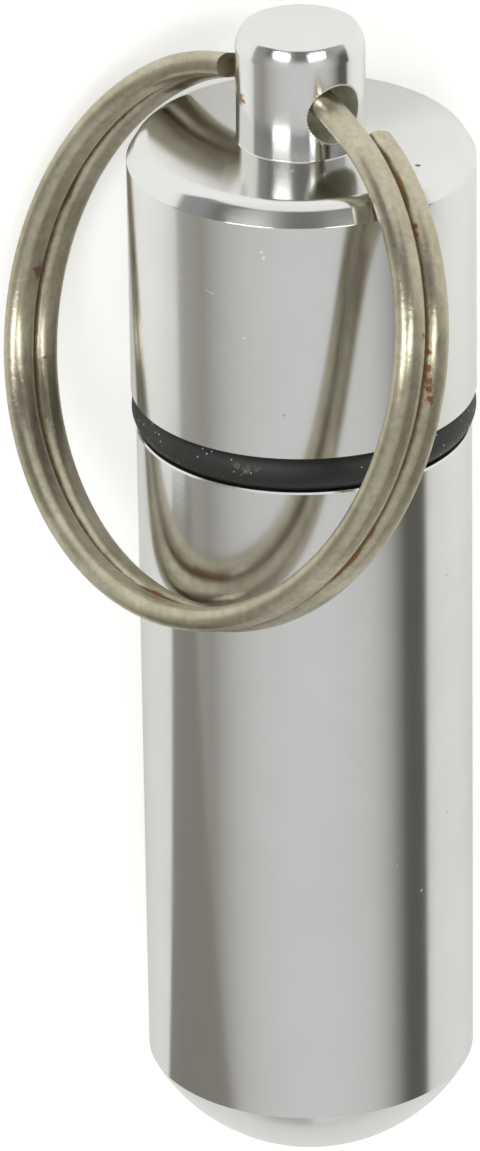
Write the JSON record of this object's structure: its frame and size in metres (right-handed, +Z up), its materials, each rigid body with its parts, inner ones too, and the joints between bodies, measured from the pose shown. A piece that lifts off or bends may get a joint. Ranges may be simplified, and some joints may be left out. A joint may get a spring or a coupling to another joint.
{
  "type": "pill fob keychain",
  "caption": "Waterproof turned metal pill vial with a domed end, a screw cap sealed by a rubber ring, and a split ring through the cap's knob to hang it on keys.",
  "frame": {"origin": "the middle of the box round the whole fob, on the table plane that the lying fob rests on", "axes": "+X along the fob's turning axis, from the domed end to the knob; +Z up from the table; +Y completes the right-handed frame, toward the side that the split ring leans to"},
  "size_m": [0.054, 0.0206, 0.0213],
  "materials": {
    "vial_metal": "turned and polished",
    "cap_metal": "turned and polished",
    "seal_rubber": "matte moulded",
    "ring_steel": "nickel plated, worn, with spots of rust"
  },
  "bodies": {
    "vial": {"vial": "vial_metal"},
    "o_ring": {"o_ring": "seal_rubber"},
    "cap": {"cap": "cap_metal"},
    "split_ring": {"split_ring": "ring_steel"}
  },
  "joints": [
    {"name": "cap_lift", "type": "slide", "parent": "vial", "child": "o_ring", "axis": [1, 0, 0], "range_m": [0, 0.0079]},
    {"name": "cap_turn", "type": "hinge", "parent": "o_ring", "child": "cap", "pos_m": [0.01, -0.00282, 0.0075], "axis": [1, 0, 0], "range_deg": [0, 1872]},
    {"name": "ring_swing", "type": "hinge", "parent": "cap", "child": "split_ring", "pos_m": [0.02389, -0.00282, 0.0075], "axis": [0, 0.541, -0.841], "range_deg": [0, 200]}
  ],
  "couplings": [
    {"joint": "cap_lift", "follows": "cap_turn", "m_per_rad": 0.00023873}
  ]
}
